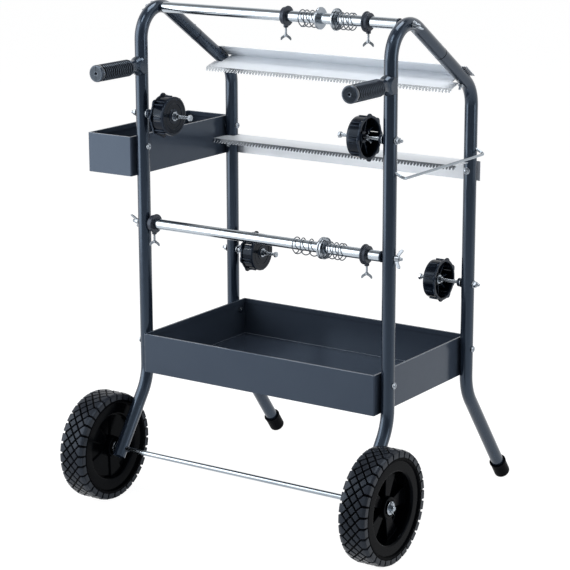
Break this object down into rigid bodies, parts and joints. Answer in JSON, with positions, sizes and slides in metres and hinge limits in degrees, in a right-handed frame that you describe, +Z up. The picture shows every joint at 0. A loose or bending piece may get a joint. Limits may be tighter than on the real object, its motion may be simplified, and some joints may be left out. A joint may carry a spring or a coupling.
{
  "type": "masking paper and tape dispenser cart",
  "caption": "Wheeled tubular stand that holds rolls of masking paper on spring-centred bars and rolls of tape on hubs, with toothed cutters, two trays and grips",
  "frame": {"origin": "on the floor, under the middle of the bounding box", "axes": "+X along the roll bars to the side with the wire rail, +Y from the wheels and handles to the splayed legs, +Z up"},
  "size_m": [0.705, 0.6274, 0.9283],
  "materials": {
    "frame_paint": "gloss slate blue powder coat",
    "tray_paint": "gloss slate blue powder coat",
    "zinc": "bright zinc plate",
    "blade": "bright sheet steel",
    "bar": "bright zinc plated tube",
    "grip_rubber": "matt black",
    "tyre_rubber": "matt black",
    "rim_plastic": "semi-matt black",
    "hub_plastic": "semi-gloss black",
    "cap_rubber": "matt black"
  },
  "bodies": {
    "frame": {"frame_front_left": "frame_paint", "frame_front_right": "frame_paint", "frame_rear_left": "frame_paint", "frame_rear_right": "frame_paint", "frame_seam_screws": "zinc", "foot_caps": "cap_rubber", "handle_pegs": "frame_paint", "grips": "grip_rubber", "axle": "zinc", "axle_washers": "zinc", "cotter_pins": "zinc", "top_bar": "bar", "mid_bar": "bar", "bar_end_plugs": "hub_plastic", "bar_studs": "zinc", "hub_bolts": "zinc", "hub_spacers": "hub_plastic", "hub_nuts": "zinc", "large_tray": "tray_paint", "small_tray": "tray_paint", "tray_bolts": "zinc", "upper_cutter": "blade", "lower_cutter": "blade", "cutter_screws": "zinc", "side_rail": "zinc"},
    "wheel_left": {"tyre_left": "tyre_rubber", "rim_left": "rim_plastic"},
    "wheel_right": {"tyre_right": "tyre_rubber", "rim_right": "rim_plastic"},
    "tape_hub_front_left": {"tape_hub_front_left": "hub_plastic"},
    "tape_hub_front_right": {"tape_hub_front_right": "hub_plastic"},
    "tape_hub_rear_left": {"tape_hub_rear_left": "hub_plastic"},
    "tape_hub_rear_right": {"tape_hub_rear_right": "hub_plastic"},
    "hub_wing_nut_front_left": {"hub_wing_nut_front_left": "zinc"},
    "hub_wing_nut_front_right": {"hub_wing_nut_front_right": "zinc"},
    "hub_wing_nut_rear_left": {"hub_wing_nut_rear_left": "zinc"},
    "wing_nut_top_left": {"wing_nut_top_left": "zinc"},
    "wing_nut_top_right": {"wing_nut_top_right": "zinc"},
    "wing_nut_mid_left": {"wing_nut_mid_left": "zinc"},
    "wing_nut_mid_right": {"wing_nut_mid_right": "zinc"},
    "collar_top_left": {"collar_top_left": "hub_plastic"},
    "thumb_screw_top_left": {"thumb_screw_top_left": "zinc"},
    "collar_top_right": {"collar_top_right": "hub_plastic"},
    "thumb_screw_top_right": {"thumb_screw_top_right": "zinc"},
    "collar_mid_left": {"collar_mid_left": "hub_plastic"},
    "thumb_screw_mid_left": {"thumb_screw_mid_left": "zinc"},
    "collar_mid_right": {"collar_mid_right": "hub_plastic"},
    "thumb_screw_mid_right": {"thumb_screw_mid_right": "zinc"},
    "spring_top_left": {"spring_top_left": "zinc"},
    "cup_top_left": {"cup_top_left": "zinc"},
    "spring_top_right": {"spring_top_right": "zinc"},
    "cup_top_right": {"cup_top_right": "zinc"},
    "spring_mid_left": {"spring_mid_left": "zinc"},
    "cup_mid_left": {"cup_mid_left": "zinc"},
    "spring_mid_right": {"spring_mid_right": "zinc"},
    "cup_mid_right": {"cup_mid_right": "zinc"}
  },
  "joints": [
    {"name": "wheel_left_spin", "type": "hinge", "parent": "frame", "child": "wheel_left", "pos_m": [-0.2795, -0.21209, 0.1016], "axis": [1, 0, 0], "continuous": true},
    {"name": "wheel_right_spin", "type": "hinge", "parent": "frame", "child": "wheel_right", "pos_m": [0.3265, -0.21209, 0.1016], "axis": [1, 0, 0], "continuous": true},
    {"name": "tape_hub_front_left_spin", "type": "hinge", "parent": "frame", "child": "tape_hub_front_left", "pos_m": [-0.1815, -0.13009, 0.72], "axis": [1, 0, 0], "continuous": true},
    {"name": "tape_hub_front_right_spin", "type": "hinge", "parent": "frame", "child": "tape_hub_front_right", "pos_m": [0.2285, -0.13009, 0.72], "axis": [1, 0, 0], "continuous": true},
    {"name": "tape_hub_rear_left_spin", "type": "hinge", "parent": "frame", "child": "tape_hub_rear_left", "pos_m": [-0.1815, 0.14991, 0.414], "axis": [1, 0, 0], "continuous": true},
    {"name": "tape_hub_rear_right_spin", "type": "hinge", "parent": "frame", "child": "tape_hub_rear_right", "pos_m": [0.2285, 0.14991, 0.414], "axis": [1, 0, 0], "continuous": true},
    {"name": "hub_wing_nut_front_left_turn", "type": "hinge", "parent": "frame", "child": "hub_wing_nut_front_left", "pos_m": [-0.1845, -0.13009, 0.72], "axis": [1, 0, 0], "range_deg": [0, 720]},
    {"name": "hub_wing_nut_front_right_turn", "type": "hinge", "parent": "frame", "child": "hub_wing_nut_front_right", "pos_m": [0.2315, -0.13009, 0.72], "axis": [1, 0, 0], "range_deg": [0, 720]},
    {"name": "hub_wing_nut_rear_left_turn", "type": "hinge", "parent": "frame", "child": "hub_wing_nut_rear_left", "pos_m": [-0.2215, 0.14991, 0.414], "axis": [1, 0, 0], "range_deg": [0, 720]},
    {"name": "wing_nut_top_left_turn", "type": "hinge", "parent": "frame", "child": "wing_nut_top_left", "pos_m": [-0.2565, -0.08009, 0.90877], "axis": [1, 0, 0], "range_deg": [0, 1080]},
    {"name": "wing_nut_top_right_turn", "type": "hinge", "parent": "frame", "child": "wing_nut_top_right", "pos_m": [0.3035, -0.08009, 0.90877], "axis": [1, 0, 0], "range_deg": [0, 1080]},
    {"name": "wing_nut_mid_left_turn", "type": "hinge", "parent": "frame", "child": "wing_nut_mid_left", "pos_m": [-0.2565, -0.13009, 0.517], "axis": [1, 0, 0], "range_deg": [0, 1080]},
    {"name": "wing_nut_mid_right_turn", "type": "hinge", "parent": "frame", "child": "wing_nut_mid_right", "pos_m": [0.3035, -0.13009, 0.517], "axis": [1, 0, 0], "range_deg": [0, 1080]},
    {"name": "collar_top_left_slide", "type": "slide", "parent": "frame", "child": "collar_top_left", "axis": [1, 0, 0], "range_m": [-0.258, 0.024]},
    {"name": "thumb_screw_top_left_turn", "type": "hinge", "parent": "collar_top_left", "child": "thumb_screw_top_left", "pos_m": [0.042, -0.08009, 0.88877], "axis": [0, 0, 1], "range_deg": [-720, 0]},
    {"name": "collar_top_right_slide", "type": "slide", "parent": "frame", "child": "collar_top_right", "axis": [1, 0, 0], "range_m": [-0.0205, 0.054]},
    {"name": "thumb_screw_top_right_turn", "type": "hinge", "parent": "collar_top_right", "child": "thumb_screw_top_right", "pos_m": [0.211, -0.08009, 0.88877], "axis": [0, 0, 1], "range_deg": [-720, 0]},
    {"name": "collar_mid_left_slide", "type": "slide", "parent": "frame", "child": "collar_mid_left", "axis": [1, 0, 0], "range_m": [0, 0.304]},
    {"name": "thumb_screw_mid_left_turn", "type": "hinge", "parent": "collar_mid_left", "child": "thumb_screw_mid_left", "pos_m": [-0.2172, -0.13009, 0.497], "axis": [0, 0, 1], "range_deg": [-720, 0]},
    {"name": "collar_mid_right_slide", "type": "slide", "parent": "frame", "child": "collar_mid_right", "axis": [1, 0, 0], "range_m": [-0.038, 0.022]},
    {"name": "thumb_screw_mid_right_turn", "type": "hinge", "parent": "collar_mid_right", "child": "thumb_screw_mid_right", "pos_m": [0.242, -0.13009, 0.497], "axis": [0, 0, 1], "range_deg": [-720, 0]},
    {"name": "spring_top_left_slide", "type": "slide", "parent": "frame", "child": "spring_top_left", "axis": [1, 0, 0], "range_m": [-0.026, 0.028]},
    {"name": "cup_top_left_press", "type": "slide", "parent": "spring_top_left", "child": "cup_top_left", "axis": [1, 0, 0], "range_m": [-0.024, 0], "stiffness_N_per_m": 1400, "deforming": ["spring_top_left"]},
    {"name": "spring_top_right_slide", "type": "slide", "parent": "frame", "child": "spring_top_right", "axis": [1, 0, 0], "range_m": [-0.028, 0.023]},
    {"name": "cup_top_right_press", "type": "slide", "parent": "spring_top_right", "child": "cup_top_right", "axis": [1, 0, 0], "range_m": [0, 0.0195], "stiffness_N_per_m": 1400, "deforming": ["spring_top_right"]},
    {"name": "spring_mid_left_slide", "type": "slide", "parent": "frame", "child": "spring_mid_left", "axis": [1, 0, 0], "range_m": [-0.306, 0]},
    {"name": "cup_mid_left_press", "type": "slide", "parent": "spring_mid_left", "child": "cup_mid_left", "axis": [1, 0, 0], "range_m": [-0.034, 0], "stiffness_N_per_m": 1400, "deforming": ["spring_mid_left"]},
    {"name": "spring_mid_right_slide", "type": "slide", "parent": "frame", "child": "spring_mid_right", "axis": [1, 0, 0], "range_m": [0, 0.04]},
    {"name": "cup_mid_right_press", "type": "slide", "parent": "spring_mid_right", "child": "cup_mid_right", "axis": [1, 0, 0], "range_m": [0, 0.022], "stiffness_N_per_m": 1400, "deforming": ["spring_mid_right"]}
  ]
}
